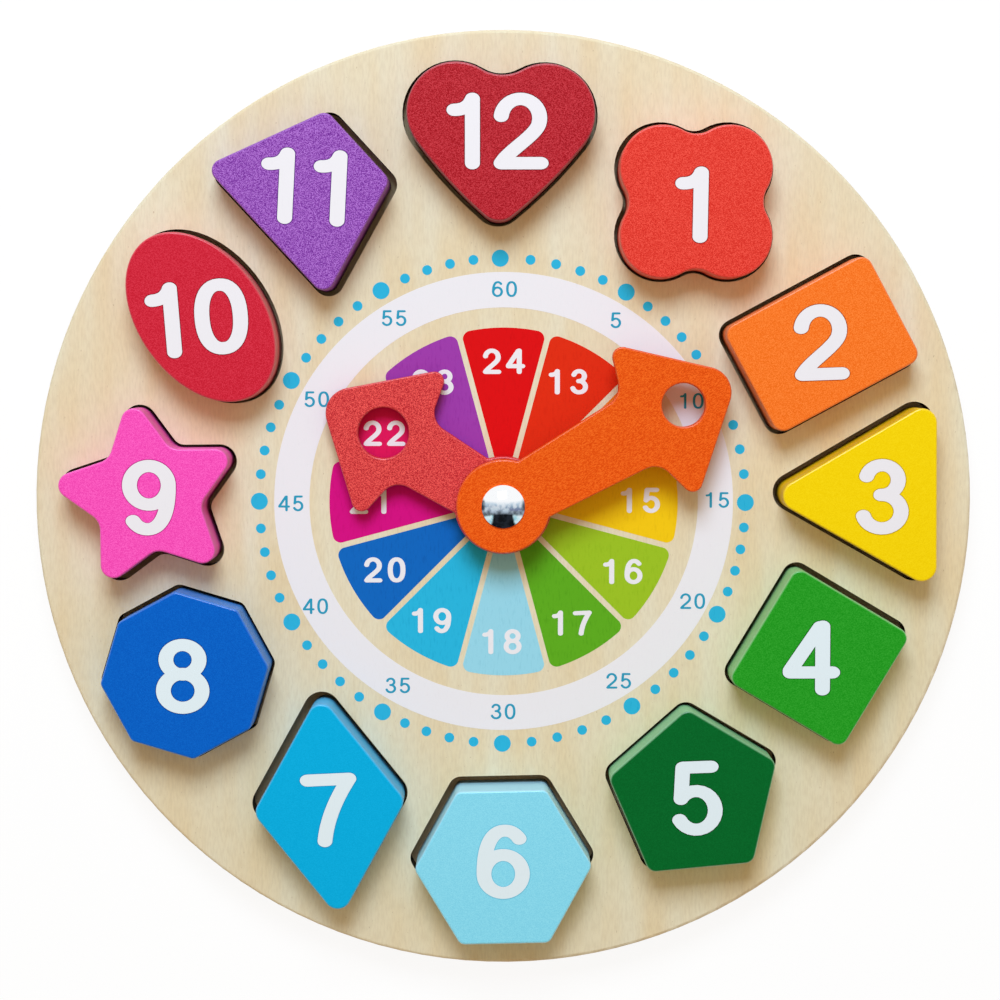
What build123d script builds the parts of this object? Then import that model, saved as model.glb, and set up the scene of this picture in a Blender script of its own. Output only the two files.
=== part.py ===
from build123d import *
import os
from math import acos, atan2, cos, radians, sin, tan

# Teaching clock: a round plywood board lying flat, +Z up, 12 o'clock towards +Y,
# 3 o'clock towards +X. The origin is the centre of the underside. All sizes in mm.

# ---- board: a closed back sheet glued under a face sheet with twelve cut-outs
BOARD_D = 220.0
BACK_T = 3.0
FACE_T = 7.0
BOARD_EDGE_R = 0.8
FACE_Z = BACK_T + FACE_T

# ---- loose number blocks: their middles stand on a ring, and the wood left between two
# neighbours takes its share of the ring's pitch, which gives the width of a block
RING_INSET = 27.6
RING_R = BOARD_D / 2 - RING_INSET
BLOCK_WEB = 4.25
BLOCK_W = 2 * RING_R * sin(radians(360 / 12 / 2)) - BLOCK_WEB
BLOCK_T = 17.0
BLOCK_EDGE_R = 0.5
BLOCK_FOOT = 0.4

# ---- hands, bolt, washers and barrel nut, all on one upright axis
PIVOT = (0.0, -0.8)
HAND_T = 4.0
HAND_EDGE_R = 0.4
HAND_FOOT = 0.3
WASHER_T = 0.8
WASHER_D = 12.0
SHANK_D = 4.0
SHANK_CHAMFER = 0.3
RUN_CLEAR = 0.08
DOME_D = 10.0
DOME_H = 1.8
DOME_RIM_H = 0.4
NUT_D = 5.6
NUT_FLANGE_D = 11.0
NUT_FLANGE_T = 1.2
NUT_FLANGE_CLEAR = 0.5
NUT_SINK = 0.4
NUT_TOP_GAP = 0.6
NUT_BORE_FLOOR = 1.0
NUT_SLOT = (6.0, 1.2, 0.6)
THREAD_CLEAR = 0.05

HOUR_ANGLE = 301.2
MINUTE_ANGLE = 60.6

HOUR_Z = FACE_Z + WASHER_T
MINUTE_Z = HOUR_Z + HAND_T + WASHER_T
DOME_Z = MINUTE_Z + HAND_T

# How far the point of each hand, before it is rounded, stays inside the ring of blocks.
HOUR_TIP_INSET = 32.0
MINUTE_TIP_INSET = 19.8
# A hand's own sizes: lengths along the arm are taken back from the point, widths across it.
HOUR_HAND = dict(hub_r=11.4, tip_u=RING_R - HOUR_TIP_INSET, tip_r=6.0, head_half_angle=42.0,
                 head_l=23.1, barb_r=2.3, neck_l=25.6, neck_v=8.1, neck_r=4.6, root_v=7.4,
                 window_l=17.7, window_d=11.9)
MINUTE_HAND = dict(hub_r=10.9, tip_u=RING_R - MINUTE_TIP_INSET, tip_r=6.0, head_half_angle=42.5,
                   head_l=22.7, barb_r=2.3, neck_l=26.3, neck_v=8.8, neck_r=4.6, root_v=7.4,
                   window_l=14.7, window_d=10.1)
HUB_ROOT_R = 1.0


# ---- outlines of the twelve blocks, each about its own centre, drawn at these sizes
DRAWN_W = 38.4
RECTANGLE = dict(width=37.5, height=27.6, radius=2.8)
SQUARE = dict(width=31.0, height=31.0, radius=2.5)
TRIANGLE = dict(radius=26.15, count=3, corner_r=3.5)
PENTAGON = dict(radius=20.7, count=5, corner_r=2.5)
HEXAGON = dict(radius=20.8, count=6, corner_r=2.0)
OCTAGON = dict(radius=19.7, count=8, corner_r=1.6)
OVAL = dict(half_x=21.8, half_y=14.4)
QUATREFOIL = dict(lobe_r=9.8, lobe_at=7.8, notch_r=6.0)
STAR = dict(tip_radius=24.4, inner_radius=12.4, tip_r=3.0, inner_r=4.0)
RHOMBUS = dict(half_x=17.9, half_y=26.7, corner_r=3.2)
TRAPEZOID = dict(base=41.0, top=21.6, height=29.4, corner_r=2.6)
HEART = dict(lobe_r=11.3, cleft_y=4.42, tip_y=-26.3, tip_r=5.0, notch_r=9.4, side_r=105.0)


def rounded(points, radii):
    """A closed straight-sided face with every corner rounded by its own radius."""
    face = make_face(Polyline(*points, close=True))
    for (x, y), r in zip(points, radii):
        corner = face.vertices().sort_by_distance((x, y, 0))[0]
        face = fillet(corner, r)
    return face


def regular(radius, count, corner_r):
    """A regular polygon with one corner towards +Y and rounded corners."""
    pts = [(radius * cos(radians(90 + 360 * k / count)), radius * sin(radians(90 + 360 * k / count)))
           for k in range(count)]
    return rounded(pts, [corner_r] * count)


def quatrefoil(lobe_r, lobe_at, notch_r):
    """Four round lobes on a square, the notches between them rounded out."""
    face = Rectangle(2 * lobe_at, 2 * lobe_at)
    for sx in (-1, 1):
        for sy in (-1, 1):
            face += Pos(sx * lobe_at, sy * lobe_at) * Circle(lobe_r)
    notches = [v for v in face.vertices() if min(abs(v.X), abs(v.Y)) < 0.01]
    return fillet(notches, notch_r)


def star(tip_radius, inner_radius, tip_r, inner_r):
    """A five-point star with soft tips and soft inner corners."""
    pts, radii = [], []
    for k in range(5):
        for radius, turn, r in ((tip_radius, 90, tip_r), (inner_radius, 126, inner_r)):
            a = radians(turn + 72 * k)
            pts.append((radius * cos(a), radius * sin(a)))
            radii.append(r)
    return rounded(pts, radii)


def rhombus(half_x, half_y, corner_r):
    pts = [(half_x, 0), (0, half_y), (-half_x, 0), (0, -half_y)]
    return rounded(pts, [corner_r] * 4)


def trapezoid(base, top, height, corner_r):
    """Symmetric trapezoid, long side down."""
    pts = [(-base / 2, -height / 2), (base / 2, -height / 2), (top / 2, height / 2), (-top / 2, height / 2)]
    return rounded(pts, [corner_r] * 4)


def oval(half_x, half_y, grow=0.0):
    return Ellipse(half_x + grow, half_y + grow)


def heart(lobe_r, cleft_y, tip_y, tip_r, notch_r, side_r, grow=0.0):
    """Two round lobes, a long arc down from each to a rounded tip, and a soft notch on top."""
    # The lobes cross on the middle line, cleft_y above their own centres.
    lobe_at = (lobe_r ** 2 - cleft_y ** 2) ** 0.5
    # Each long arc runs on smoothly from its lobe, so the two centres and the join lie on one
    # line. The direction of that line follows from the arc passing through the tip.
    apart = side_r - lobe_r
    reach = (lobe_at ** 2 + tip_y ** 2) ** 0.5
    line = atan2(tip_y, -lobe_at) + acos((side_r ** 2 - apart ** 2 - reach ** 2) / (2 * apart * reach))
    cx, cy = lobe_at - apart * cos(line), -apart * sin(line)
    lobe_r, side_r = lobe_r + grow, side_r + grow
    tip_y = cy - (side_r ** 2 - cx ** 2) ** 0.5
    notch_y = (lobe_r ** 2 - lobe_at ** 2) ** 0.5
    join = (lobe_at + lobe_r * cos(line), lobe_r * sin(line))
    half_side = (line + atan2(tip_y - cy, -cx)) / 2
    half_lobe = (line + atan2(notch_y, -lobe_at)) / 2
    on_side = (cx + side_r * cos(half_side), cy + side_r * sin(half_side))
    on_lobe = (lobe_at + lobe_r * cos(half_lobe), lobe_r * sin(half_lobe))
    outline = Curve()
    for sx in (-1, 1):
        side, start, lobe = ((sx * x, y) for x, y in (on_side, join, on_lobe))
        outline += ThreePointArc((0, tip_y), side, start) + ThreePointArc(start, lobe, (0, notch_y))
    face = make_face(outline)
    face = fillet(face.vertices().sort_by_distance((0, notch_y, 0))[0], notch_r - grow)
    return fillet(face.vertices().sort_by_distance((0, tip_y, 0))[0], tip_r + grow)


# name: outline function and its sizes, then where the block lies: clock angle of its middle,
# distance out from the ring, own turn in degrees; then how far the cut-out's middle lies from
# the block's, because each loose block rests a little to one side, and the cut-out's clearance
BLOCKS = {
    "block_01_quatrefoil": (quatrefoil, QUATREFOIL, 32.57, 0.1, 0.0, (0.1, 0.4), 1.0),
    "block_02_rectangle": (RectangleRounded, RECTANGLE, 63.47, -0.1, 28.3, (0.0, 0.0), 1.0),
    "block_03_triangle": (regular, TRIANGLE, 88.82, 5.0, 90.4, (-0.3, 0.4), 1.0),
    "block_04_square": (RectangleRounded, SQUARE, 116.13, -0.6, -30.8, (0.2, 0.2), 1.0),
    "block_05_pentagon": (regular, PENTAGON, 146.9, -0.6, 5.4, (0.2, -0.2), 1.0),
    "block_06_hexagon": (regular, HEXAGON, 180.0, 2.8, -28.8, (-0.3, 0.8), 1.2),
    "block_07_rhombus": (rhombus, RHOMBUS, 209.74, -0.7, 5.0, (-0.5, 0.5), 1.2),
    "block_08_octagon": (regular, OCTAGON, 241.55, 1.9, 5.9, (-0.3, -0.1), 1.0),
    "block_09_star": (star, STAR, 271.01, 0.1, 9.5, (0.1, -0.35), 1.0),
    "block_10_oval": (oval, OVAL, 301.63, -0.4, 126.0, (0.2, 0.3), 0.8),
    "block_11_trapezoid": (trapezoid, TRAPEZOID, 328.67, 2.4, -47.3, (0.65, -0.1), 1.1),
    "block_12_heart": (heart, HEART, 359.65, 7.6, -1.2, (-0.2, 0.25), 1.1),
}
# these two outlines are grown from their own sizes, the others are moved out evenly
GROWN = (oval, heart)
FIT = BLOCK_W / DRAWN_W


def place(angle, out):
    """A block's middle on the board, from its clock angle and its distance out from the ring."""
    r = RING_R + out * FIT
    return r * sin(radians(angle)), r * cos(radians(angle))


def prism(outline, z, height):
    """Push a flat outline up from the level z by a height."""
    return extrude(Pos(0, 0, z) * outline, height)


def rim_edges(solid, z):
    """The edges of an upright solid that lie flat at the level z."""
    return [e for e in solid.edges() if e.bounding_box().size.Z < 1e-4 and abs(e.center().Z - z) < 1e-3]


def make_block(draw, sizes, angle, out, turn, shift, clear):
    """A block with a softly rounded upper rim and a small chamfer under it, to drop in easily."""
    block = prism(scale(draw(**sizes), FIT), BACK_T, BLOCK_T)
    block = fillet(rim_edges(block, BACK_T + BLOCK_T), BLOCK_EDGE_R)
    block = chamfer(rim_edges(block, BACK_T), BLOCK_FOOT)
    return Pos(*place(angle, out)) * Rot(0, 0, turn) * block


def make_face_board():
    board = prism(Circle(BOARD_D / 2), BACK_T, FACE_T)
    board = fillet(board.edges().sort_by(Axis.Z)[-1], BOARD_EDGE_R)
    for draw, sizes, angle, out, turn, shift, clear in BLOCKS.values():
        if draw in GROWN:
            wider = scale(draw(**sizes, grow=clear / FIT), FIT)
        else:
            wider = offset(scale(draw(**sizes), FIT), clear, kind=Kind.ARC)
        x, y = place(angle, out)
        board -= Pos(x + shift[0], y + shift[1]) * Rot(0, 0, turn) * prism(wider, BACK_T, FACE_T)
    return board - Pos(*PIVOT) * prism(Circle(NUT_D / 2 + THREAD_CLEAR), BACK_T, FACE_T)


def make_back_board():
    board = prism(Circle(BOARD_D / 2), 0, BACK_T)
    board = fillet(board.edges().sort_by(Axis.Z)[0], BOARD_EDGE_R)
    sink = NUT_SINK + NUT_FLANGE_T
    board -= Pos(*PIVOT) * prism(Circle(NUT_FLANGE_D / 2 + NUT_FLANGE_CLEAR), 0, sink)
    return board - Pos(*PIVOT) * prism(Circle(NUT_D / 2 + THREAD_CLEAR), sink, BACK_T - sink)


def make_hand(z, angle, hub_r, tip_u, tip_r, head_half_angle, head_l, barb_r,
              neck_l, neck_v, neck_r, root_v, window_l, window_d):
    """A flat arrow-headed hand with a round hub, a reading window and soft barbs."""
    barb_u, neck_u = tip_u - head_l, tip_u - neck_l
    barb_v = head_l * tan(radians(head_half_angle))
    root_u = (hub_r ** 2 - root_v ** 2) ** 0.5
    # the arm points to +Y, so a point (u, v) of the hand is (v, u) in the plane
    points = [(0, tip_u), (barb_v, barb_u), (neck_v, neck_u), (root_v, root_u),
              (0, 0), (-root_v, root_u), (-neck_v, neck_u), (-barb_v, barb_u)]
    face = make_face(Polyline(*points, close=True))
    radii = {0: tip_r, 1: barb_r, 7: barb_r, 2: neck_r, 6: neck_r}
    for k, r in radii.items():
        corner = face.vertices().sort_by_distance((*points[k], 0))[0]
        face = fillet(corner, r)
    face += Circle(hub_r)
    roots = [face.vertices().sort_by_distance((*points[k], 0))[0] for k in (3, 5)]
    face = fillet(roots, HUB_ROOT_R)
    face -= Pos(0, tip_u - window_l) * Circle(window_d / 2)
    hand = prism(face, z, HAND_T)
    hand = fillet(rim_edges(hand, z + HAND_T), HAND_EDGE_R)
    hand = chamfer(rim_edges(hand, z), HAND_FOOT)
    hand -= prism(Circle(SHANK_D / 2 + RUN_CLEAR), z, HAND_T)
    return Pos(*PIVOT) * Rot(0, 0, -angle) * hand


def make_bolt():
    """Low polished dome on a short rim, and a plain shank down into the barrel nut."""
    ball_r = ((DOME_D / 2) ** 2 + DOME_H ** 2) / (2 * DOME_H)
    top = DOME_RIM_H + DOME_H
    shank_end = NUT_SINK + NUT_FLANGE_T + NUT_BORE_FLOOR
    with BuildSketch(Plane.XZ) as profile:
        with BuildLine():
            Polyline((0, shank_end), (SHANK_D / 2 - SHANK_CHAMFER, shank_end), (SHANK_D / 2, shank_end + SHANK_CHAMFER),
                     (SHANK_D / 2, DOME_Z), (DOME_D / 2, DOME_Z), (DOME_D / 2, DOME_Z + DOME_RIM_H))
            ThreePointArc((DOME_D / 2, DOME_Z + DOME_RIM_H),
                          (ball_r * sin(radians(25)), DOME_Z + top - ball_r + ball_r * cos(radians(25))),
                          (0, DOME_Z + top))
            Line((0, DOME_Z + top), (0, shank_end))
        make_face()
    return Pos(*PIVOT) * revolve(profile.sketch, Axis.Z)


def make_washer(z):
    ring = Circle(WASHER_D / 2) - Circle(SHANK_D / 2 + RUN_CLEAR)
    return Pos(*PIVOT) * prism(ring, z, WASHER_T)


def make_nut():
    """Flanged barrel nut let in from below, its blind bore open at the top."""
    top = FACE_Z - NUT_TOP_GAP
    nut = prism(Circle(NUT_FLANGE_D / 2), NUT_SINK, NUT_FLANGE_T)
    nut += prism(Circle(NUT_D / 2), NUT_SINK + NUT_FLANGE_T, top - NUT_SINK - NUT_FLANGE_T)
    floor = NUT_SINK + NUT_FLANGE_T + NUT_BORE_FLOOR
    nut -= prism(Circle(SHANK_D / 2 + THREAD_CLEAR), floor, top - floor)
    # a cross slot for a screwdriver in the outer face of the flange
    nut -= Pos(0, 0, NUT_SINK + NUT_SLOT[2] / 2) * Box(*NUT_SLOT)
    return Pos(*PIVOT) * nut


PARTS = {"back_board": make_back_board(), "face_board": make_face_board()}
PARTS.update({name: make_block(*row) for name, row in BLOCKS.items()})
PARTS["lower_washer"] = make_washer(FACE_Z)
PARTS["hour_hand"] = make_hand(HOUR_Z, HOUR_ANGLE, **HOUR_HAND)
PARTS["middle_washer"] = make_washer(HOUR_Z + HAND_T)
PARTS["minute_hand"] = make_hand(MINUTE_Z, MINUTE_ANGLE, **MINUTE_HAND)
PARTS["hand_bolt"] = make_bolt()
PARTS["barrel_nut"] = make_nut()

os.makedirs("parts", exist_ok=True)
for name, solid in PARTS.items():
    export_step(solid, f"parts/{name}.step")
    print(name, round(solid.volume, 1), len(solid.solids()))
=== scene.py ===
# %% [markdown]
# # A plywood teaching clock with twelve number blocks
#
# The clock is a round birch plywood board with twelve cut-outs. A painted wooden block of its
# own shape stands loose in each one, and two plywood hands turn on one domed bolt over a
# printed dial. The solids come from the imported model, in metres: the origin is the centre of
# the underside, +Z is up and 12 o'clock points towards +Y. This lesson dresses them: it adds
# the ink and the digits as thin films of real thickness, gives every surface its material, and
# sets the light and the camera.

from math import radians

import bpy
import numpy as np
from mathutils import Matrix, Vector


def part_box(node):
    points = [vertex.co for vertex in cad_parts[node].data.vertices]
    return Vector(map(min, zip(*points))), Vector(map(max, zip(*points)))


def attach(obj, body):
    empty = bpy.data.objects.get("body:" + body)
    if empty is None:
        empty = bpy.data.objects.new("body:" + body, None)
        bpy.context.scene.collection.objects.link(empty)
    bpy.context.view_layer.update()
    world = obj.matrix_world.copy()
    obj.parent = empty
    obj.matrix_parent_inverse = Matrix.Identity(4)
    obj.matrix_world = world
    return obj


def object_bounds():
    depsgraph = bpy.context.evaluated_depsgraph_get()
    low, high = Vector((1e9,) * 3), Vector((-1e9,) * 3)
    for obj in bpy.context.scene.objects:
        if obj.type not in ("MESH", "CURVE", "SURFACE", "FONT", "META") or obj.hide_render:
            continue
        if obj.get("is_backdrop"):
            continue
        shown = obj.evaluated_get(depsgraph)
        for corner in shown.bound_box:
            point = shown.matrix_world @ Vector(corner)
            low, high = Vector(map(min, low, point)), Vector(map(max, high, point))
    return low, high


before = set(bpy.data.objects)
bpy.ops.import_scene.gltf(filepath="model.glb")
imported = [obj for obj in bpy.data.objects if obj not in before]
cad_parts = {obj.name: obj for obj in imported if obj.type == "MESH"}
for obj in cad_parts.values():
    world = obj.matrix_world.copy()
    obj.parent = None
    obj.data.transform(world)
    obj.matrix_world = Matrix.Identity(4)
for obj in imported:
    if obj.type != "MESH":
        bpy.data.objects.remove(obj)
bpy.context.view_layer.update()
MM = 0.001
print("nodes:", sorted(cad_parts))

# %% [markdown]
# ## Colours and nodes
#
# Paint makers and screens name colours as sRGB hex values, while Blender's shaders work with
# linear light, so one function turns the first into the second. A node tree is easier to read
# when each node is one line, so a second function adds a node of any kind with its settings
# and what feeds its inputs. Most nodes mix two colours, which come in at inputs 6 and 7 and
# leave at output 2.

# %% Helpers for colours and nodes
MIX = {"data_type": "RGBA"}
MULTIPLY = {"data_type": "RGBA", "blend_type": "MULTIPLY"}


def linear(code):
    """Linear RGBA of an sRGB hex value: c / 12.92 up to 0.04045, and above it
    ((c + 0.055) / 1.055) ^ 2.4."""
    c = np.array([int(code[i:i + 2], 16) for i in (1, 3, 5)]) / 255
    c = np.where(c <= 0.04045, c / 12.92, ((c + 0.055) / 1.055) ** 2.4)
    return (*c, 1.0)


def node(tree, kind, settings=None, inputs=None, stops=()):
    """Adds one node: settings are its properties, inputs are values or the sockets to link, and
    stops are the marks of a colour ramp, each a position and a hex colour."""
    made = tree.nodes.new("ShaderNode" + kind)
    for name, value in (settings or {}).items():
        setattr(made, name, value)
    for name, value in (inputs or {}).items():
        if isinstance(value, bpy.types.NodeSocket):
            tree.links.new(value, made.inputs[name])
        else:
            made.inputs[name].default_value = value
    if stops:
        marks = made.color_ramp.elements
        while len(marks) < len(stops):
            marks.new(0.5)
        for mark, (place, code) in zip(marks, stops):
            mark.position, mark.color = place, linear(code)
    return made


def new_material(name, code):
    """A node material with its one Principled shader, and the plain colour for the viewport."""
    mat = bpy.data.materials.new(name)
    mat.use_nodes = True
    mat.diffuse_color = linear(code)
    shader = mat.node_tree.nodes["Principled BSDF"]
    return mat, mat.node_tree, shader


def dress(name, mat):
    """Gives a CAD node's object the material, in each of its slots."""
    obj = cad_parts[name]
    if not obj.data.materials:
        obj.data.materials.append(mat)
    for slot in obj.material_slots:
        slot.material = mat
    return obj


print("middle grey in linear light:", round(float(linear("#808080")[0]), 3))

# %% [markdown]
# ## Birch plywood
#
# Birch plywood is peeled from the log in thin sheets and glued crosswise, so its face shows a
# fine, even grain in one direction and its edge shows pale and dark layers. The cut-outs are
# cut by a laser, which leaves their walls scorched brown. All of this comes from the place on
# the board, so one shader on Object coordinates does it: noise stretched along Y for the face,
# bands along Z for the outer edge, and a scorch colour for walls that are inside the rim.

# %% The grain
GRAIN_MM = 0.5           # width of a fleck of grain across the sheet
GRAIN_LONG = 5           # a fleck runs about this many times its width
FIGURE_MM = 9.0          # width of a streak of the broad, faint figure
PORE_MM = 0.4            # width of a dark pore
PORE_LONG = 3            # a pore is shorter than a fleck


def grain(tree, place, width, length):
    """Noise drawn out along Y, as wood fibres are: width in mm across, length times that
    along."""
    across, along = 1 / (width * MM), 1 / (width * length * MM)
    drawn = node(tree, "Mapping", None, {"Vector": place, "Scale": (across, along, across)})
    return node(tree, "TexNoise", None, {
        "Vector": drawn.outputs[0], "Scale": 1.0, "Detail": 2.0,
        "Roughness": 0.55}).outputs["Fac"]


print("a fleck is", GRAIN_MM, "x", GRAIN_MM * GRAIN_LONG, "mm")

# %% The two boards
FACE_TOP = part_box("face_board")[1].z
BOARD_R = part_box("face_board")[1].x
PLY_MM = 1.4             # thickness of one glued layer
RIM_MM = 1.2             # a wall this near to the rim is the outer edge
SCORCH_PER_M = 900.0     # blotches of scorch in a metre, so each is about 1.1 mm
GRAIN_SHOWS = 0.11       # how much of the flecks' colour shows on the face
PORES_SHOW = 0.55        # and how much of the pores'
WOOD_ROUGH = 0.52        # sanded and thinly lacquered
WOOD_SHINE = 0.2


def birch_plywood(name, pale, warm, dark, scorched_inside):
    """Peeled birch, sanded: a pale ground with a warm figure, fine darker flecks and pores, and
    a satin bloom where light grazes it. Walls show the glued layers: the height is folded
    between 0 and one layer, and its middle third is the soft step from glue to wood. Inside
    the rim they are scorched instead."""
    mat, tree, shader = new_material(name, pale)
    place = node(tree, "TexCoord").outputs["Object"]
    flecks = grain(tree, place, GRAIN_MM, GRAIN_LONG)
    figure = grain(tree, place, FIGURE_MM, GRAIN_LONG)
    pores = grain(tree, place, PORE_MM, PORE_LONG)
    ground = node(tree, "ValToRGB", None, {"Fac": figure}, [(0.32, pale), (0.68, warm)])
    fine = node(tree, "ValToRGB", None, {"Fac": flecks}, [(0.34, dark), (0.60, "#FFFFFF")])
    specks = node(tree, "ValToRGB", None, {"Fac": pores}, [(0.70, "#FFFFFF"), (0.78, dark)])
    face = node(tree, "Mix", MULTIPLY, {
        "Factor": GRAIN_SHOWS, 6: ground.outputs["Color"], 7: fine.outputs["Color"]})
    face = node(tree, "Mix", MULTIPLY, {
        "Factor": PORES_SHOW, 6: face.outputs[2], 7: specks.outputs["Color"]})

    axes = node(tree, "SeparateXYZ", None, {0: place})
    layer = node(tree, "Math", {"operation": "PINGPONG"}, {0: axes.outputs["Z"], 1: PLY_MM * MM})
    layer = node(tree, "MapRange", None, {
        "Value": layer.outputs[0],
        "From Min": 0.35 * PLY_MM * MM, "From Max": 0.65 * PLY_MM * MM})
    edge = node(tree, "ValToRGB", None, {"Fac": layer.outputs[0]}, [
        (0.0, "#D6BE96"), (1.0, "#E8D8B8")])
    wall = edge.outputs["Color"]
    if scorched_inside:
        level = node(tree, "CombineXYZ", None, {0: axes.outputs["X"], 1: axes.outputs["Y"]})
        radius = node(tree, "VectorMath", {"operation": "LENGTH"}, {0: level.outputs[0]})
        is_rim = node(tree, "Math", {"operation": "GREATER_THAN"}, {
            0: radius.outputs["Value"], 1: BOARD_R - RIM_MM * MM})
        burn = node(tree, "TexNoise", None, {
            "Vector": place, "Scale": SCORCH_PER_M, "Detail": 2.0})
        burnt = node(tree, "ValToRGB", None, {"Fac": burn.outputs["Fac"]}, [
            (0.35, "#2A1B10"), (0.70, "#4A3320")])
        wall = node(tree, "Mix", MIX, {
            "Factor": is_rim.outputs[0], 6: burnt.outputs["Color"], 7: wall}).outputs[2]

    facing = node(tree, "NewGeometry").outputs["Normal"]
    facing = node(tree, "SeparateXYZ", None, {0: facing}).outputs["Z"]
    facing = node(tree, "Math", {"operation": "ABSOLUTE"}, {0: facing}).outputs[0]
    is_wall = node(tree, "Math", {"operation": "LESS_THAN"}, {0: facing, 1: 0.5}).outputs[0]
    colour = node(tree, "Mix", MIX, {"Factor": is_wall, 6: face.outputs[2], 7: wall})
    tree.links.new(colour.outputs[2], shader.inputs["Base Color"])
    shader.inputs["Roughness"].default_value = WOOD_ROUGH
    shader.inputs["Specular IOR Level"].default_value = WOOD_SHINE
    bump = node(tree, "Bump", None, {"Strength": 0.3, "Distance": 0.04 * MM, "Height": flecks})
    tree.links.new(bump.outputs["Normal"], shader.inputs["Normal"])
    return mat


face_wood = birch_plywood("birch_plywood_sanded", "#E4DCC1", "#E2D0AA", "#A07E50", True)
back_wood = birch_plywood("birch_plywood_back_sheet", "#D9C6A4", "#CDB48C", "#A07F58", False)
dress("face_board", face_wood)
dress("back_board", back_wood)
print("the face is at", round(FACE_TOP / MM, 2), "mm, its radius", round(BOARD_R / MM, 2), "mm")

# %% [markdown]
# ## Sprayed paint
#
# The blocks and the hands are sprayed with a satin acrylic paint over wood. A sprayed coat is
# one colour, yet it isn't flat: the drops dry as a shallow, close orange peel, which breaks
# the shine into small flecks, and the edges catch the light. The sides get a colour of their
# own, which on most paints is paler than the top: a painted sheen, standing in for the white
# shine of light that grazes the sides.

# %% The paint
PEEL_MM = 0.15           # distance between the bumps of the orange peel
DROP_LONG = 1.6          # a dried drop is this many times as long as it is wide
SATIN_ROUGH = 0.36
SATIN_SHINE = 0.06       # a satin coat mirrors this little when looked at squarely
SKIN = 1.0               # wet paint pools on rounded rims and dries with a glossy skin there
SKIN_ROUGH = 0.3
# Heights of the normal, which is 1 on a top and 0 on an upright side: where the side colour,
# with its painted sheen, begins to show and where nothing else does, the middle of a rounded
# rim, and how far from that height the skin is whole and where it has ended.
SIDE_SHEEN_BEGINS, SIDE_SHEEN_WHOLE = 0.95, 0.45
RIM_UP, SKIN_WHOLE, SKIN_ENDS = 0.62, 0.30, 0.375


def sprayed_paint(name, code, deep, light, side, peel, run=0.0, long=DROP_LONG):
    """Satin sprayed acrylic. The coat is deep in the dimples of its peel and light on the
    bumps; peel, 0 to 1, is how rough the drops dried. The drops are long in the direction run,
    in degrees from 3 o'clock. The sides take the colour side: the paint there and, where it is
    paler than the top, a painted sheen of grazing light. The skin's share is 1 near the rim's
    middle height and falls in a straight line to 0."""
    mat, tree, shader = new_material(name, code)
    place = node(tree, "TexCoord").outputs["Object"]
    flat = node(tree, "Mapping", {"vector_type": "TEXTURE"}, {
        "Vector": place, "Rotation": (0, 0, radians(run)),
        "Scale": (PEEL_MM * long * MM, PEEL_MM * MM, PEEL_MM * MM)})
    cells = node(tree, "TexNoise", None, {
        "Vector": flat.outputs[0], "Scale": 1.0, "Detail": 1.0, "Roughness": 0.6}).outputs["Fac"]
    top = node(tree, "ValToRGB", None, {"Fac": cells}, [
        (0.41, deep), (0.50, code), (0.59, light)])
    up = node(tree, "NewGeometry").outputs["Normal"]
    up = node(tree, "SeparateXYZ", None, {0: up}).outputs["Z"]
    # The side colour mixed in here is the paint on the sides and, where it is paler, a painted
    # sheen.
    side_sheen = node(tree, "MapRange", None, {
        "Value": up, "From Min": SIDE_SHEEN_BEGINS, "From Max": SIDE_SHEEN_WHOLE})
    colour = node(tree, "Mix", MIX, {
        "Factor": side_sheen.outputs[0], 6: top.outputs["Color"], 7: linear(side)})
    tree.links.new(colour.outputs[2], shader.inputs["Base Color"])
    shader.inputs["Roughness"].default_value = SATIN_ROUGH
    shader.inputs["Specular IOR Level"].default_value = SATIN_SHINE

    off = node(tree, "Math", {"operation": "SUBTRACT"}, {0: up, 1: RIM_UP}).outputs[0]
    off = node(tree, "Math", {"operation": "ABSOLUTE"}, {0: off}).outputs[0]
    skin = node(tree, "MapRange", None, {
        "Value": off, "From Min": SKIN_WHOLE, "From Max": SKIN_ENDS,
        "To Min": SKIN, "To Max": 0.0})
    tree.links.new(skin.outputs[0], shader.inputs["Coat Weight"])
    shader.inputs["Coat Roughness"].default_value = SKIN_ROUGH
    # The rougher the drops dried, the higher the bumps are that they left.
    bump = node(tree, "Bump", None, {
        "Strength": 0.25 + 0.5 * peel, "Distance": (0.01 + 0.06 * peel) * MM, "Height": cells})
    tree.links.new(bump.outputs["Normal"], shader.inputs["Normal"])
    return mat
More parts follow.
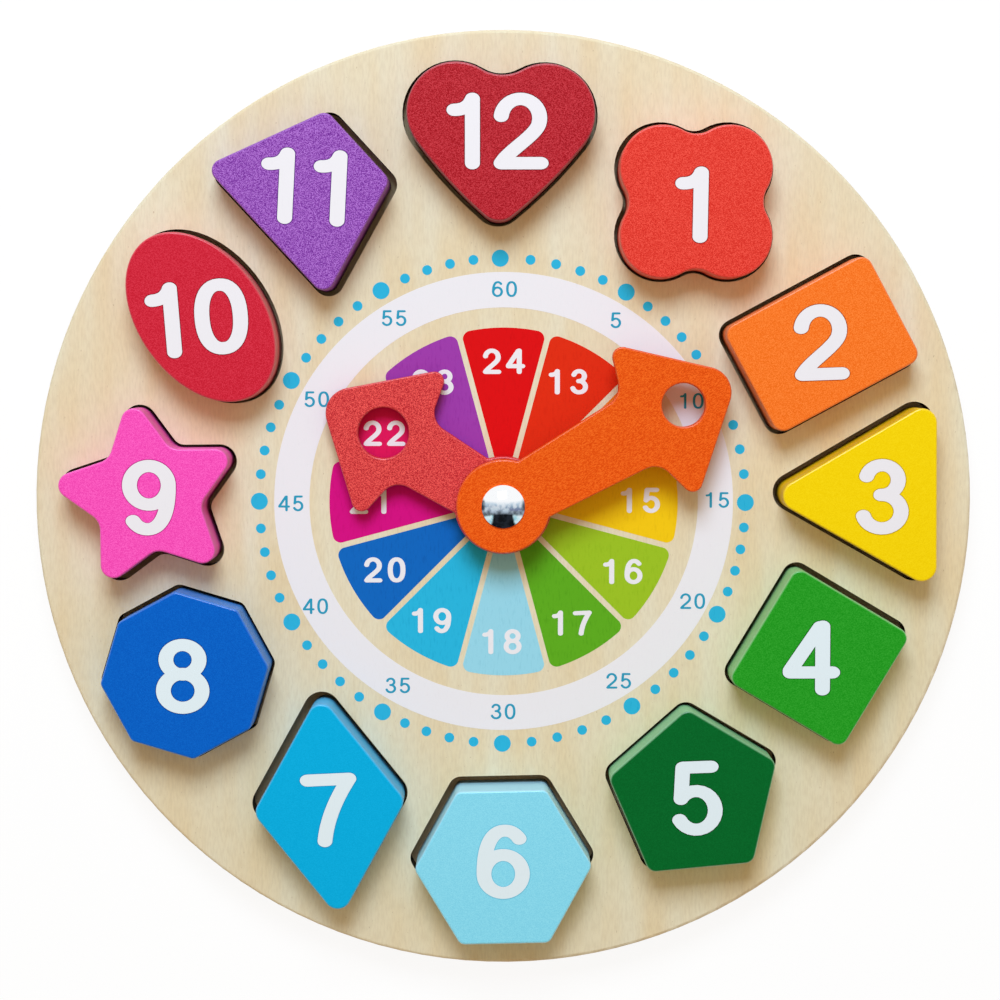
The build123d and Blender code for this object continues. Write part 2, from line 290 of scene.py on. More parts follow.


# Each row: block, name of the paint, its colour, the same paint lying thick and lying thin, the
# colour of the sides (on most blocks paler than the top, a painted sheen of grazing light), how
# rough it dried, and for the minute hand the run of the wood under the coat and how long that
# draws the drops.
PAINTS = (
    ("block_01", "vermilion", "#E13A2E", "#CF2A20", "#EE5446", "#E8604E", 0.5),
    ("block_02", "orange", "#F67621", "#EE6A15", "#FB8538", "#E8783E", 0.3),
    ("block_03", "yellow", "#F4D300", "#F0CD00", "#F8D912", "#F0C414", 0.1),
    ("block_04", "leaf_green", "#229B20", "#189118", "#32A52E", "#92CC8A", 0.3),
    ("block_05", "dark_green", "#006628", "#006024", "#046C2C", "#8CC896", 0.1),
    ("block_06", "pale_blue", "#86DCF4", "#80D6F0", "#90E1F7", "#B8ECFA", 0.2),
    ("block_07", "cyan", "#00AEE3", "#00AADF", "#0AB3E7", "#5CBCEC", 0.1),
    ("block_08", "blue", "#0060C8", "#005AC0", "#0868CE", "#4A8CE0", 0.2),
    ("block_09", "pink", "#F850BA", "#EE40AE", "#FC62C6", "#F060B8", 0.4),
    ("block_10", "red", "#CC2036", "#C0182D", "#D63448", "#E0686C", 0.4),
    ("block_11", "purple", "#924BB4", "#6C2690", "#B276D2", "#9048A8", 1.0),
    ("block_12", "crimson", "#B21B28", "#980C18", "#C83C46", "#A84C58", 0.6),
    ("hour_hand", "coral", "#D53C40", "#B0222A", "#F05E58", "#D8343C", 1.0),
    ("minute_hand", "tangerine", "#E8560E", "#DA4A06", "#F26A1E", "#E7540C", 0.5, 29.4, 3.0),
)
for start, paint, *coat in PAINTS:
    made = sprayed_paint("acrylic_satin_" + paint, *coat)
    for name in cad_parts:
        if name.startswith(start):
            dress(name, made)
            print(name, "gets", made.name)

# %% [markdown]
# ## Bolt, washers and nut
#
# The bolt's dome is chrome plated and polished, so it shows nothing but its surroundings. The
# barrel nut under it is zinc plated, a duller metal, and the two washers are moulded nylon.

# %% Metals and nylon
POLISH_PER_M = 2500.0    # polishing marks in a metre, so one each 0.4 mm
HAZE_PER_M = 700.0       # clouds in the nylon, so each is about 1.4 mm
NYLON_ROUGH = 0.35


def plated_metal(name, code, roughness, scratch):
    """A plated metal: metallic 1, with fine polishing marks that only bend the reflection. The
    roughness goes from 0.6 to 1.4 of its middle value with the marks."""
    mat, tree, shader = new_material(name, code)
    place = node(tree, "TexCoord").outputs["Object"]
    marks = node(tree, "TexNoise", None, {
        "Vector": place, "Scale": POLISH_PER_M, "Detail": 3.0, "Roughness": 0.6}).outputs["Fac"]
    rough = node(tree, "MapRange", None, {
        "Value": marks, "To Min": roughness * 0.6, "To Max": roughness * 1.4})
    shader.inputs["Base Color"].default_value = linear(code)
    shader.inputs["Metallic"].default_value = 1.0
    tree.links.new(rough.outputs[0], shader.inputs["Roughness"])
    bump = node(tree, "Bump", None, {
        "Strength": scratch, "Distance": 0.01 * MM, "Height": marks})
    tree.links.new(bump.outputs["Normal"], shader.inputs["Normal"])
    return mat


def moulded_nylon(name, code, deep):
    """Moulded nylon: milky, slightly uneven in its depth, with a soft even shine."""
    mat, tree, shader = new_material(name, code)
    place = node(tree, "TexCoord").outputs["Object"]
    haze = node(tree, "TexNoise", None, {"Vector": place, "Scale": HAZE_PER_M, "Detail": 2.0})
    milk = node(tree, "ValToRGB", None, {"Fac": haze.outputs["Fac"]}, [
        (0.35, deep), (0.65, code)])
    tree.links.new(milk.outputs["Color"], shader.inputs["Base Color"])
    shader.inputs["Roughness"].default_value = NYLON_ROUGH
    return mat


nylon = moulded_nylon("nylon_moulded", "#ECE9E0", "#E1DDD2")
dress("hand_bolt", plated_metal("steel_chrome_plated", "#F8FAFC", 0.06, 0.02))
dress("barrel_nut", plated_metal("steel_zinc_plated", "#B9BCC0", 0.32, 0.10))
dress("lower_washer", nylon)
dress("middle_washer", nylon)
print("bolt, nut and washers dressed")

# %% [markdown]
# ## Ink as a thin film
#
# Screen ink stands a few hundredths of a millimetre proud of the wood. A film of that real
# thickness gives crisp edges from any side, which an image wrapped on the board can't, and it
# moves with its body. Every film here is a grid of points: one parameter goes round or along
# the shape, the other goes through the four corners of the film's section.

# %% From a grid of points to a closed mesh
INK_PROUD = 0.03 * MM    # the ink's top above the surface
INK_ROOT = 0.04 * MM     # how far the film's underside goes into the wood


def grid_faces(rows, cols):
    """Quads of a grid of rows x cols points, numbered row by row. The last row joins the first
    one, and the last column too, so the surface closes on itself."""
    a, b = (m.ravel() for m in np.meshgrid(np.arange(rows), np.arange(cols), indexing="ij"))
    up, over = (a + 1) % rows, (b + 1) % cols
    return np.stack([a * cols + b, up * cols + b, up * cols + over, a * cols + over], axis=1)


def mesh_object(name, points, faces, mat):
    """A mesh object of points (n, 3) in metres and faces of any number of corners."""
    mesh = bpy.data.meshes.new(name)
    mesh.from_pydata(points, [], faces)
    mesh.materials.append(mat)
    mesh.validate()
    obj = bpy.data.objects.new(name, mesh)
    bpy.context.scene.collection.objects.link(obj)
    return obj


def film(name, outlines, top, body, mat):
    """Films with flat tops from outlines (shapes, points, 2), each going round counter-clockwise.
    A film is its outline at two heights, joined by walls and closed by a face above and below."""
    count, corners = outlines.shape[:2]
    points = np.empty((count, 2, corners, 3))
    points[..., :2] = outlines[:, None]
    points[:, 0, :, 2] = top - INK_ROOT
    points[:, 1, :, 2] = top + INK_PROUD
    start = np.arange(count)[:, None] * 2 * corners
    k = np.arange(corners)
    walls = np.stack([k, (k + 1) % corners, corners + (k + 1) % corners, corners + k], axis=1)
    walls = (start[:, :, None] + walls).reshape(-1, 4)
    under = start + k[::-1]
    over = start + corners + k
    faces = walls.tolist() + under.tolist() + over.tolist()
    obj = mesh_object(name, points.reshape(-1, 3), faces, mat)
    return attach(obj, body)


INK_ROUGH = 0.5          # the ink dries matt
# In the noise of the grain: the level up to which ink that covers well lies thin, how far ink
# that covers nothing raises it, and the width of the soft step to the full colour.
THIN_UP_TO, THIN_MORE, THIN_SOFT = 0.22, 0.08, 0.2


def screen_ink(name, code, thin, cover=1.0):
    """Screen ink on sanded wood: matt, and a trace thinner over the flecks of grain, the more
    so the less the ink covers."""
    mat, tree, shader = new_material(name, code)
    place = node(tree, "TexCoord").outputs["Object"]
    flecks = grain(tree, place, GRAIN_MM, GRAIN_LONG)
    low = THIN_UP_TO + THIN_MORE * (1 - cover)
    coat = node(tree, "ValToRGB", None, {"Fac": flecks}, [(low, thin), (low + THIN_SOFT, code)])
    tree.links.new(coat.outputs["Color"], shader.inputs["Base Color"])
    shader.inputs["Roughness"].default_value = INK_ROUGH
    shader.inputs["Specular IOR Level"].default_value = SATIN_SHINE
    bump = node(tree, "Bump", None, {"Strength": 0.1, "Distance": 0.01 * MM, "Height": flecks})
    tree.links.new(bump.outputs["Normal"], shader.inputs["Normal"])
    return mat


print("ink stands", INK_PROUD / MM, "mm proud")

# %% [markdown]
# ## The printed dial
#
# The dial has three rings about the middle of the board: twelve coloured hour sectors with the
# afternoon numbers, a white ring with the minute numbers, and sixty dots. The white ring is a
# rectangle carried round a circle. A sector is cut off by two straight edges that leave an even
# strip of bare wood, and its outer corners are rounded.

# %% White minute ring
PRINT_X, PRINT_Y = 0.1 * MM, -0.3 * MM      # the screen lay this far off the board's middle
RING_IN, RING_OUT = 45.7 * MM, 54.0 * MM
RING_STEPS = 180
turn = np.linspace(0, 2 * np.pi, RING_STEPS + 1)[:-1]
section = np.array([(RING_IN, FACE_TOP - INK_ROOT), (RING_OUT, FACE_TOP - INK_ROOT),
                    (RING_OUT, FACE_TOP + INK_PROUD), (RING_IN, FACE_TOP + INK_PROUD)])
ring = np.empty((len(turn), 4, 3))
ring[..., 0] = PRINT_X + np.cos(turn)[:, None] * section[:, 0]
ring[..., 1] = PRINT_Y + np.sin(turn)[:, None] * section[:, 0]
ring[..., 2] = section[:, 1]
white_ink = screen_ink("screen_ink_white", "#E9E8ED", "#E6E5EA")
minute_ring = mesh_object(
    "minute_ring", ring.reshape(-1, 3), grid_faces(RING_STEPS, 4).tolist(), white_ink)
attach(minute_ring, "clock_board")
print("ring from", RING_IN / MM, "to", RING_OUT / MM, "mm")

# %% Twelve hour sectors
SECTOR_OUT = 41.0 * MM   # outer radius of the coloured sectors
SECTOR_IN = 6.0 * MM     # they end under the hub of the hands
SECTOR_GAP = 1.3 * MM    # bare wood between two sectors
SECTOR_CORNER = 2.0 * MM
HALF_HOUR = radians(15)
EDGE_STEPS, ARC_STEPS = 12, 41      # points on a straight edge and on the outer arc


def clock_point(radius, angle):
    """x, y of a point of the print at a clock angle, which is 0 at 12 o'clock and grows
    clockwise: x = radius sin(angle), y = radius cos(angle), about the middle of the print."""
    return np.stack([PRINT_X + radius * np.sin(angle), PRINT_Y + radius * np.cos(angle)], axis=-1)


def sector(middle):
    """Outline of one sector. Its straight edges keep half a gap from the line between two
    hours: half-angle = 15 deg - asin(gap / 2 / radius). Near each edge the outer radius drops
    by corner - sqrt(corner^2 - (corner - distance to the edge)^2)."""
    radius = np.linspace(SECTOR_IN, SECTOR_OUT - SECTOR_CORNER, EDGE_STEPS)
    half = HALF_HOUR - np.arcsin(SECTOR_GAP / 2 / radius)
    reach = HALF_HOUR - np.arcsin(SECTOR_GAP / 2 / SECTOR_OUT)
    side = np.sin(np.linspace(-np.pi / 2, np.pi / 2, ARC_STEPS)) * reach
    away = np.minimum((np.abs(side).max() - np.abs(side)) * SECTOR_OUT, SECTOR_CORNER)
    outer = SECTOR_OUT - SECTOR_CORNER + np.sqrt(SECTOR_CORNER ** 2 - (SECTOR_CORNER - away) ** 2)
    rising = clock_point(radius, middle + half)
    arc = clock_point(outer, middle - side)
    falling = clock_point(radius[::-1], middle - half[::-1])
    return np.concatenate([rising, arc[1:-1], falling])


# Each row: number, ink, the ink where it lies thin, and the middle of the number in mm.
SECTOR_COVER = 0.4       # the colours cover the grain less well than the white does
SECTORS = (
    ("24", "#D90A0F", "#D1080D", 0.2, 32.8), ("13", "#DC2C0E", "#D4260A", 15.3, 28.0),
    ("14", "#EE7A1E", "#E57117", 28.2, 16.2), ("15", "#F2C811", "#E9BE0C", 32.3, 0.1),
    ("16", "#9AC024", "#90B81E", 28.2, -16.7), ("17", "#5DAA1E", "#549F19", 16.2, -28.9),
    ("18", "#96D5E8", "#8BCCE0", -0.3, -33.3), ("19", "#28B5DE", "#21ABD5", -16.9, -28.3),
    ("20", "#0D66BE", "#0A5DB1", -27.9, -16.3), ("21", "#D20B81", "#C80778", -31.8, -0.1),
    ("22", "#D8145A", "#CC1052", -27.9, 15.9), ("23", "#9A3BA8", "#90329F", -16.5, 27.9),
)
for hour, (number, code, thin, x, y) in enumerate(SECTORS):
    ink = screen_ink("screen_ink_sector_" + number, code, thin, SECTOR_COVER)
    film("sector_" + number, sector(radians(30 * hour))[None], FACE_TOP, "clock_board", ink)
print(len(SECTORS), "sectors out to", SECTOR_OUT / MM, "mm")

# %% Sixty minute dots
DOT_RING, DOT_SHIFT = 57.2 * MM, -0.3 * MM
DOT_STEPS = 24
# The dots were laid by hand: clock angles of the twelve big ones, where the four small ones
# stand between two big ones, and how far these drift on in each of the twelve gaps.
FIVE_MINUTES = np.radians([-0.5, 30.5, 58.8, 90.1, 117.6, 147.6, 180.0, 209.7, 240.3, 270.2,
                           300.0, 330.2, 359.5])
SHARE = np.array([0.0, 0.215, 0.405, 0.595, 0.785])
DRIFT = np.array([0.022, 0, 0, 0, -0.018, 0, 0.022, 0, 0, 0, -0.005, 0])
BIG_DOT, SMALL_DOT = 2.0 * MM, 1.16 * MM
share = SHARE + DRIFT[:, None] * 4 * SHARE * (1 - SHARE)
dot_angle = (FIVE_MINUTES[:-1, None] + np.diff(FIVE_MINUTES)[:, None] * share).ravel()
dot_r = np.where(np.arange(60) % 5 == 0, BIG_DOT, SMALL_DOT)
around = np.linspace(0, 2 * np.pi, DOT_STEPS + 1)[:-1]
circle = np.stack([np.cos(around), np.sin(around)], axis=-1)
dots = clock_point(DOT_RING, dot_angle)[:, None] + dot_r[:, None, None] * circle + (DOT_SHIFT, 0)
blue_ink = screen_ink("screen_ink_cyan", "#2DB2DA", "#22A8D2")
film("minute_dots", dots, FACE_TOP, "clock_board", blue_ink)
print(len(dots), "dots")

# %% [markdown]
# ## Digits drawn with a round pen
#
# Rounded numerals look as if a round pen had drawn them. So each digit is one or more pen
# lines, made of arcs and bends, and the outline of a line is the two sides of the pen and two
# half circles at its ends. One set of pen lines then serves all three sizes, each with its own
# width of pen. Lines of a digit overlap, so each lies two thousandths of a millimetre above
# the last, and no two tops share a plane.

# %% Pen lines
STEPS = 22               # points on an arc or bend


def arc(cx, cy, rx, ry, start, end, full=2.0):
    """An arc of an oval, angles in degrees counter-clockwise from 3 o'clock:
    x = cx + rx |cos|^(2/full), y = cy + ry |sin|^(2/full), each with its sign."""
    a = np.radians(np.linspace(start, end, STEPS))
    c, s = np.cos(a), np.sin(a)
    return np.stack([cx + rx * np.sign(c) * np.abs(c) ** (2 / full),
                     cy + ry * np.sign(s) * np.abs(s) ** (2 / full)], axis=-1)


def bend(a, b, c, d):
    """A cubic bend from a to d that leaves towards b and arrives from c:
    (1-t)^3 a + 3 (1-t)^2 t b + 3 (1-t) t^2 c + t^3 d."""
    t = np.linspace(0, 1, STEPS)[:, None]
    a, b, c, d = map(np.array, (a, b, c, d))
    return (1 - t) ** 3 * a + 3 * (1 - t) ** 2 * t * b + 3 * (1 - t) * t ** 2 * c + t ** 3 * d


def line(a, b):
    """A straight pen line."""
    return np.array([a, b], float)


def turned(lines, width):
    """The same pen lines turned half round in their box, as a 6 becomes a 9."""
    return [np.array([width, 1.0]) - p for p in lines]


# Middle lines of the pen in a box one unit high: width of the box, then the lines.
SIX = (0.64, [
    np.concatenate([bend((0.585, 0.87), (0.52, 0.96), (0.44, 1.0), (0.35, 1.0)),
                    bend((0.35, 1.0), (0.12, 1.0), (0.0, 0.74), (0.0, 0.32))[1:]]),
    arc(0.32, 0.305, 0.32, 0.305, 180, 0), arc(0.32, 0.305, 0.32, 0.305, 180, 360)])
DIGITS = {
    "0": (0.63, [arc(0.315, 0.5, 0.315, 0.5, 90, 270, 2.3),
                 arc(0.315, 0.5, 0.315, 0.5, 90, -90, 2.3)]),
    "1": (0.30, [line((0.30, 0.0), (0.30, 1.0)),
                 bend((0.0, 0.83), (0.17, 0.83), (0.26, 0.90), (0.30, 1.0))]),
    "2": (0.654, [np.concatenate([
        arc(0.315, 0.70, 0.315, 0.30, 173, -18),
        bend((0.615, 0.607), (0.55, 0.42), (0.12, 0.20), (0.0, 0.0))[1:]]),
        line((0.0, 0.0), (0.654, 0.0))]),
    "3": (0.617, [np.concatenate([arc(0.30, 0.765, 0.265, 0.235, 165, -90),
                                  line((0.30, 0.53), (0.28, 0.53))]),
                  np.concatenate([line((0.28, 0.53), (0.30, 0.53)),
                                  arc(0.30, 0.265, 0.317, 0.265, 90, -165)])]),
    "4": (0.704, [line((0.537, 0.0), (0.537, 1.0)), line((0.49, 0.99), (0.0, 0.30)),
                  line((0.0, 0.27), (0.704, 0.27))]),
    "5": (0.617, [line((0.10, 1.0), (0.57, 1.0)), line((0.10, 1.0), (0.055, 0.50)),
                  arc(0.30, 0.31, 0.317, 0.31, 141, -152)]),
    "6": SIX,
    "7": (0.69, [line((0.0, 0.97), (0.69, 1.0)),
                 bend((0.69, 1.0), (0.50, 0.72), (0.33, 0.38), (0.29, 0.0))]),
    "8": (0.64, [arc(0.32, 0.765, 0.275, 0.235, 90, 270), arc(0.32, 0.765, 0.275, 0.235, 90, -90),
                 arc(0.32, 0.27, 0.32, 0.27, 90, 270), arc(0.32, 0.27, 0.32, 0.27, 90, -90)]),
    "9": (SIX[0], turned(SIX[1], SIX[0])),
}
print(len(DIGITS), "digits")

# %% The outline of a pen line
PEN_FLAT = 0.82          # the pen is an oval, so a level stroke is thinner than an upright one
END_STEPS = 12           # points round the end of a stroke
SAME_POINT = 1e-9        # two points this close, in metres, are one
ONE_LEFT = 0.06          # in its pitch a 1 stands this share of its height further left


def nib(way, pen):
    """Where an oval nib of half-widths a and b reaches furthest in each direction (x, y):
    (a^2 x, b^2 y) / |(a x, b y)|."""
    half = np.array([pen / 2, pen * PEN_FLAT / 2])
    return way * half ** 2 / np.linalg.norm(way * half, axis=-1, keepdims=True)


def pen_outline(middle, pen):
    """Outline of a pen line: the nib's reach to each side of the middle line, along its normal
    (-dy, dx), and its reach in the directions between, round each end."""
    apart = np.linalg.norm(np.diff(middle, axis=0), axis=1) > SAME_POINT
    middle = middle[np.concatenate([[True], apart])]
    along = np.gradient(middle, axis=0)
    along /= np.linalg.norm(along, axis=1, keepdims=True)
    left = np.stack([-along[:, 1], along[:, 0]], axis=-1)
    a = np.linspace(0, np.pi, END_STEPS)[1:-1, None]
    end = middle[-1] + nib(np.sin(a) * along[-1] - np.cos(a) * left[-1], pen)
    start = middle[0] + nib(np.cos(a) * left[0] - np.sin(a) * along[0], pen)
    return np.concatenate([middle + nib(-left, pen), end, (middle + nib(left, pen))[::-1], start])


def pen_number(text, height, pen, pitch=None, gap=None):
    """Outlines of a number about its own middle. Each digit's unit box is scaled to the height
    less one nib; digits stand a fixed pitch apart, or leave the same gap between them."""
    unit = np.array([height - pen, height - pen * PEN_FLAT])
    widths = [DIGITS[c][0] * unit[0] + pen for c in text]
    if pitch is None:
        lefts = np.concatenate([[0], np.cumsum(np.array(widths[:-1]) + gap)])
    else:
        narrow = np.array([ONE_LEFT * height if c == "1" else 0.0 for c in text])
        lefts = np.arange(len(text)) * pitch - np.array(widths) / 2 - narrow
    lefts = lefts - (lefts[0] + lefts[-1] + widths[-1]) / 2
    outlines = []
    for left, char in zip(lefts, text):
        for middle in DIGITS[char][1]:
            outlines.append(pen_outline(middle * unit + (left + pen / 2, -unit[1] / 2), pen))
    return outlines


print("12 is drawn with", len(pen_number("12", 1.0, 0.2, gap=0.1)), "pen lines")

# %% [markdown]
# The outlines of a number have different counts of points, and a film takes one count, so the
# outlines are joined into one mesh by their own small function: the same walls and two lids
# for each, numbered one after the other.

# %% Numbers as ink
LAYER_STEP = 0.002 * MM  # each pen line's top lies this much above the last


def number_piece(name, outlines, top, body, mat):
    """One mesh of pen lines lying on top: each line is a closed film a step above the last."""
    points, faces, first = [], [], 0
    for layer, outline in enumerate(outlines):
        n = len(outline)
        low = np.column_stack([outline, np.full(n, top - INK_ROOT)])
        high = np.column_stack([outline, np.full(n, top + INK_PROUD + layer * LAYER_STEP)])
        k = np.arange(n)
        walls = np.stack([k, (k + 1) % n, n + (k + 1) % n, n + k], axis=1) + first
        faces += walls.tolist() + [(first + k[::-1]).tolist(), (first + n + k).tolist()]
        points += [low, high]
        first += 2 * n
    obj = mesh_object(name, np.concatenate(points), faces, mat)
    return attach(obj, body)


def placed(outlines, centre, turn_ccw=0.0):
    """Outlines turned counter-clockwise about their middle and moved to a centre."""
    c, s = np.cos(radians(turn_ccw)), np.sin(radians(turn_ccw))
    return [o @ np.array([[c, s], [-s, c]]) + centre for o in outlines]


print("a number of four pen lines stands", round((INK_PROUD + 3 * LAYER_STEP) / MM, 3), "mm proud")

# %% Minute numbers 5 to 60
MINUTE_H, MINUTE_PEN, MINUTE_PITCH = 3.7 * MM, 0.58 * MM, 3.3 * MM
number_ink = screen_ink("screen_ink_teal", "#2B9ABC", "#2592B4")
RING_TOP = FACE_TOP + INK_PROUD      # top of the first layer of ink
# The middle of each number in mm, from 5 to 60.
MINUTE_AT = (
    (26.4, 42.4), (44.3, 23.5), (50.4, 0.2), (44.7, -23.7), (27.3, -42.6), (0.0, -49.9),
    (-24.9, -43.7), (-44.3, -24.9), (-50.0, -0.6), (-43.8, 23.9), (-25.6, 42.9), (0.3, 49.7))
for count, (x, y) in enumerate(MINUTE_AT, start=1):
    text = str(5 * count)
    lines = pen_number(text, MINUTE_H, MINUTE_PEN, pitch=MINUTE_PITCH)
    lines = placed(lines, (x * MM, y * MM))
    number_piece("minute_" + text, lines, RING_TOP, "clock_board", number_ink)
print(count, "minute numbers,", MINUTE_H / MM, "mm high")

# %% Afternoon numbers 13 to 24
AFTERNOON_H, AFTERNOON_PEN, AFTERNOON_PITCH = 5.95 * MM, 1.2 * MM, 5.5 * MM
for number, code, thin, x, y in SECTORS:
    lines = pen_number(number, AFTERNOON_H, AFTERNOON_PEN, pitch=AFTERNOON_PITCH)
    lines = placed(lines, (x * MM, y * MM))
    number_piece("afternoon_" + number, lines, RING_TOP, "clock_board", white_ink)
print(len(SECTORS), "afternoon numbers,", AFTERNOON_H / MM, "mm high")

# %% [markdown]
# ## Digits on the blocks
#
# Each block carries its hour in white, in the middle of its top. The digits ride on the block,
# so they rise with it when it is lifted out of the board. White ink never covers fully, so it
# looks colder on the green and blue paints than on the warm ones, and there are two whites.
# Under it lies an undercoat of the darkened paint, which shows as a thin line round the white.

# %% Block numbers 1 to 12
BLOCK_H, BLOCK_PEN = 17.5 * MM, 3.45 * MM
neutral_white = screen_ink("screen_ink_white_neutral", "#EAE8ED", "#E7E5EA")
cold_white = screen_ink("screen_ink_white_cold", "#E0EFF6", "#DDECF3")
COLD_HOURS = range(4, 9)
SEAM = 0.18 * MM         # how far the undercoat shows round the white
UNDER = 0.016 * MM       # how much lower than the white its top lies
UNDERCOATS = (
    "#8A1C14", "#A0440C", "#B89800", "#0C5A0C", "#003C14", "#6CC4E0",
    "#0090C4", "#003C88", "#B42080", "#80101E", "#56207A", "#6E0E18")
# Each row: hour, middle of the number in mm, its turn counter-clockwise in degrees, and the
# gap between two digits in mm.
BLOCK_NUMBERS = (
    (1, 43.3, 68.8, -1.0, 0), (2, 73.4, 37.2, 2.0, 0), (3, 87.8, 1.5, 0.0, 0),
    (4, 71.6, -36.0, 0.0, 0), (5, 45.0, -68.9, 2.0, 0), (6, 0.0, -83.8, 0.0, 0),
    (7, -40.8, -71.6, 0.0, 0), (8, -74.5, -40.3, 0.0, 0), (9, -82.0, 1.3, 0.0, 0),
    (10, -70.6, 42.7, 4.5, 3.5), (11, -46.0, 72.9, -3.0, 4.4), (12, -1.3, 85.6, 0.0, 3.15),
)
for hour, x, y, turn_ccw, gap in BLOCK_NUMBERS:
    body, digits, centre = f"block_{hour:02d}", str(hour), (x * MM, y * MM)
    top = max(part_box(n)[1].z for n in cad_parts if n.startswith(body))
    white = pen_number(digits, BLOCK_H, BLOCK_PEN, gap=gap * MM)
    number_piece(f"number_{hour:02d}", placed(white, centre, turn_ccw), top, body,
                 cold_white if hour in COLD_HOURS else neutral_white)
    wider = pen_number(digits, BLOCK_H + 2 * SEAM, BLOCK_PEN + 2 * SEAM, gap=gap * MM - 2 * SEAM)
    code = UNDERCOATS[hour - 1]
    undercoat = screen_ink(f"screen_ink_undercoat_{hour:02d}", code, code)
    number_piece(f"undercoat_{hour:02d}", placed(wider, centre, turn_ccw), top - UNDER, body,
                 undercoat)
print(len(BLOCK_NUMBERS), "block numbers,", BLOCK_H / MM, "mm high")

# %% [markdown]
# ## Floor, light and camera
#
# A product picture of a flat object is taken from above under one large soft lamp. The floor
# answers white to the camera, and what it keeps is the shadow: its shader mixes the light it
# receives with plain white for camera and glossy rays only, so no extra light falls on the
# clock. The dome reflects the whole room, so the world has a bright wall and a grey ceiling.

# %% Floor
FLOOR_HALF = 3.0
FLOOR_ROUGH = 0.9
SEEN_WHITE = 0.9         # how much of the floor's answer to the camera is plain white
corner = np.array([(-1, -1, 0), (1, -1, 0), (1, 1, 0), (-1, 1, 0)]) * FLOOR_HALF
floor_mat, tree, shader = new_material("studio_floor_white", "#FFFFFF")
floor = mesh_object("floor", corner, [(0, 1, 2, 3)], floor_mat)
floor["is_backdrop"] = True
shader.inputs["Base Color"].default_value = linear("#FFFFFF")
shader.inputs["Roughness"].default_value = FLOOR_ROUGH
path = node(tree, "LightPath")
seen = node(tree, "Math", {"operation": "MAXIMUM"}, {
    0: path.outputs["Is Camera Ray"], 1: path.outputs["Is Glossy Ray"]})
seen = node(tree, "Math", {"operation": "MAXIMUM"}, {
    0: seen.outputs[0], 1: path.outputs["Is Transmission Ray"]})
seen = node(tree, "Math", {"operation": "MULTIPLY"}, {0: seen.outputs[0], 1: SEEN_WHITE})
white = node(tree, "Emission", None, {"Strength": 1.0})
mixed = node(tree, "MixShader", None, {
    0: seen.outputs[0], 1: shader.outputs[0], 2: white.outputs[0]})
tree.links.new(mixed.outputs[0], tree.nodes["Material Output"].inputs["Surface"])
print("floor", 2 * FLOOR_HALF, "m square")

# %% World
# The light that fills the shade is warm, and stronger from the ceiling than from low down.
FILL, FILL_FLOOR, FILL_CEILING = "#C4AD8E", 0.24, 1.3
# A direction's y goes from -1 at 6 o'clock to 1 at 12. The two light screens begin and are
# whole at the first two values of it, and the darker posts at 3 and 9 at the next two.
SCREENS_BEGIN, SCREENS_WHOLE = -0.42, -0.54
POSTS_BEGIN, POSTS_WHOLE = 0.45, 0.2
CLUTTER_SIZE, CLUTTER_DETAIL, CLUTTER_SHOWS = 3.5, 3.0, 0.8      # things that stand about
world = bpy.data.worlds.new("studio")
world.use_nodes = True
bpy.context.scene.world = world
tree = world.node_tree
background = tree.nodes["Background"]
way = node(tree, "TexCoord").outputs["Generated"]
axes = node(tree, "SeparateXYZ", None, {0: way})
aside = node(tree, "Math", {"operation": "ABSOLUTE"}, {0: axes.outputs["X"]}).outputs[0]
along = node(tree, "Math", {"operation": "ABSOLUTE"}, {0: axes.outputs["Y"]}).outputs[0]

# The room that polished metal shows: a white wall towards 12 o'clock, a blue-grey ceiling,
# and towards 6 o'clock a dark gap between the two light screens.
ahead = node(tree, "MapRange", None, {
    "Value": axes.outputs["Y"], "From Min": -1.0, "From Max": 1.0})
room = node(tree, "ValToRGB", None, {"Fac": ahead.outputs[0]}, [
    (0.25, "#1C2128"), (0.29, "#7A8692"), (0.36, "#A6B4C2"), (0.47, "#BAC6D2"),
    (0.56, "#DCE6EE"), (0.64, "#FFFFFF")])
screens = node(tree, "ValToRGB", None, {"Fac": aside}, [
    (0.48, "#000000"), (0.56, "#BFDDE4"), (0.85, "#EAF8FA")])
low = node(tree, "MapRange", None, {
    "Value": axes.outputs["Y"], "From Min": SCREENS_BEGIN, "From Max": SCREENS_WHOLE})
room = node(tree, "Mix", {"data_type": "RGBA", "blend_type": "LIGHTEN"}, {
    "Factor": low.outputs[0], 6: room.outputs["Color"], 7: screens.outputs["Color"]})
posts = node(tree, "ValToRGB", None, {"Fac": aside}, [(0.89, "#FFFFFF"), (0.96, "#56626E")])
level = node(tree, "MapRange", None, {
    "Value": along, "From Min": POSTS_BEGIN, "From Max": POSTS_WHOLE})
room = node(tree, "Mix", MULTIPLY, {
    "Factor": level.outputs[0], 6: room.outputs[2], 7: posts.outputs["Color"]})
clutter = node(tree, "TexNoise", None, {
    "Vector": way, "Scale": CLUTTER_SIZE, "Detail": CLUTTER_DETAIL})
clutter = node(tree, "ValToRGB", None, {"Fac": clutter.outputs["Fac"]}, [
    (0.40, "#6C6C6C"), (0.60, "#D8D8D8")])
room = node(tree, "Mix", {"data_type": "RGBA", "blend_type": "OVERLAY"}, {
    "Factor": CLUTTER_SHOWS, 6: room.outputs[2], 7: clutter.outputs["Color"]})

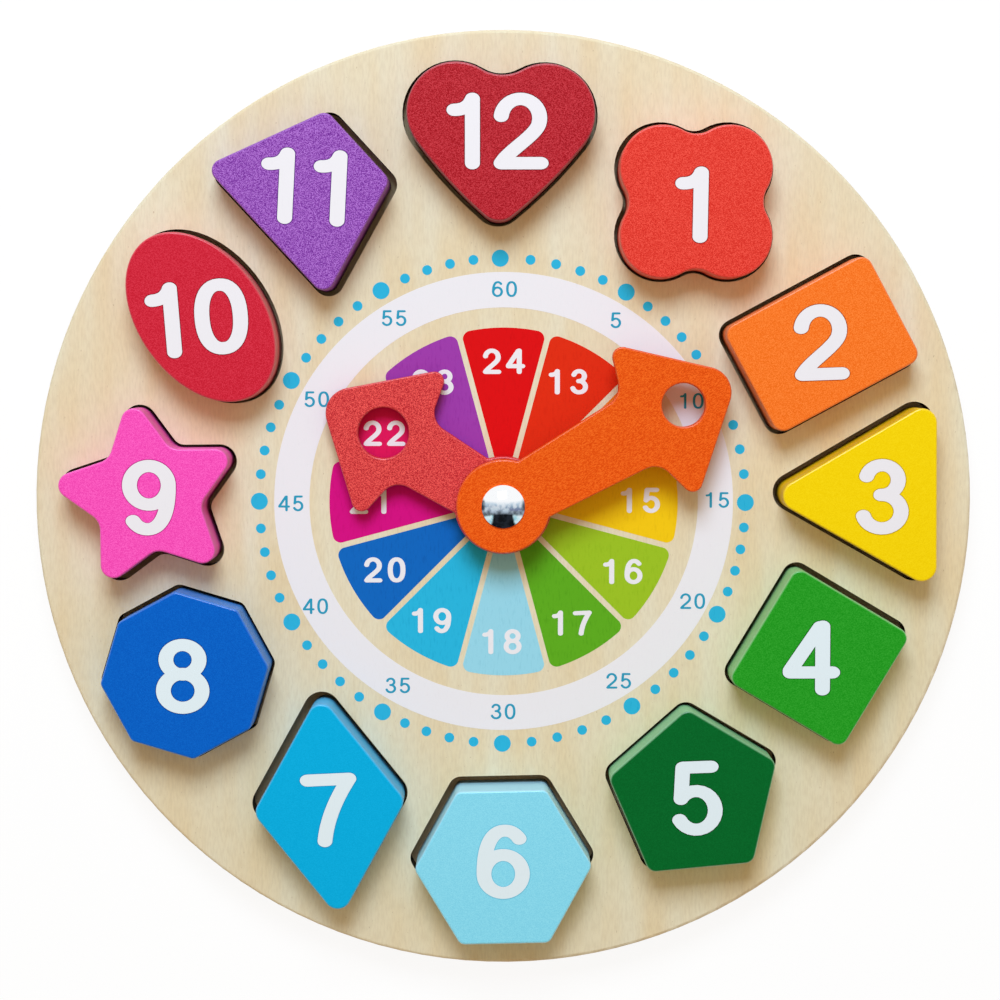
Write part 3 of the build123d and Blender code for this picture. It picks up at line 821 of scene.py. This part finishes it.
# %% What each kind of ray meets
height = node(tree, "MapRange", None, {
    "Value": axes.outputs["Z"], "To Min": FILL_FLOOR, "To Max": FILL_CEILING})
fill = node(tree, "VectorMath", {"operation": "SCALE"}, {
    0: linear(FILL)[:3], "Scale": height.outputs[0]})
path = node(tree, "LightPath")
ambient = node(tree, "Mix", MIX, {
    "Factor": path.outputs["Is Glossy Ray"], 6: fill.outputs[0], 7: room.outputs[2]})
shown = node(tree, "Mix", MIX, {
    "Factor": path.outputs["Is Camera Ray"], 6: ambient.outputs[2], 7: linear("#FFFFFF")})
tree.links.new(shown.outputs[2], background.inputs["Color"])
background.inputs["Strength"].default_value = 1.0
print("fill from", FILL_FLOOR, "to", FILL_CEILING)

# %% Lamps


def soft_lamp(name, place, target, size, watts, code):
    """A square area lamp that looks at a target."""
    data = bpy.data.lights.new(name, "AREA")
    data.shape, data.size, data.energy = "SQUARE", size, watts
    data.color = linear(code)[:3]
    lamp = bpy.data.objects.new(name, data)
    bpy.context.scene.collection.objects.link(lamp)
    lamp.location = place
    lamp.rotation_euler = (Vector(target) - Vector(place)).to_track_quat("-Z", "Y").to_euler()
    return lamp


KEY_AT = (-0.06, 0.64, 0.83)     # behind 12 o'clock and above, in metres
KEY_SIZE = 0.46          # a larger lamp would blur the shade at the blocks' feet
KEY_WATTS = 11.25
soft_lamp("key", KEY_AT, (0, 0, 0), KEY_SIZE, KEY_WATTS, "#D0E4F8")
print("key lamp", round(Vector(KEY_AT).length, 2), "m away")

# %% Camera
SENSOR_MM = 36.0
FOCAL_SHARE = 2553.0 / 1000      # focal length over the picture's width
CAMERA_AT = (-0.75 * MM, 34.03 * MM, 610 * MM)
CAMERA_TILT = -3.228     # degrees from straight down, so that it looks a little towards 6 o'clock
camera_data = bpy.data.cameras.new("camera")
camera_data.sensor_width = SENSOR_MM
camera_data.lens = FOCAL_SHARE * SENSOR_MM
camera_data.clip_end = 20.0
camera = bpy.data.objects.new("camera", camera_data)
camera.location = CAMERA_AT
camera.rotation_euler = (radians(CAMERA_TILT), 0, 0)
bpy.context.scene.collection.objects.link(camera)
bpy.context.scene.camera = camera
bpy.context.scene.view_settings.view_transform = "Standard"
print("lens", round(camera_data.lens, 1), "mm")

# %% [markdown]
# The size of the dressed clock, films and all, is printed at the end.

# %% Sizes, and finish
low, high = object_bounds()
print("dressed size in mm:", [round((b - a) / MM, 2) for a, b in zip(low, high)])
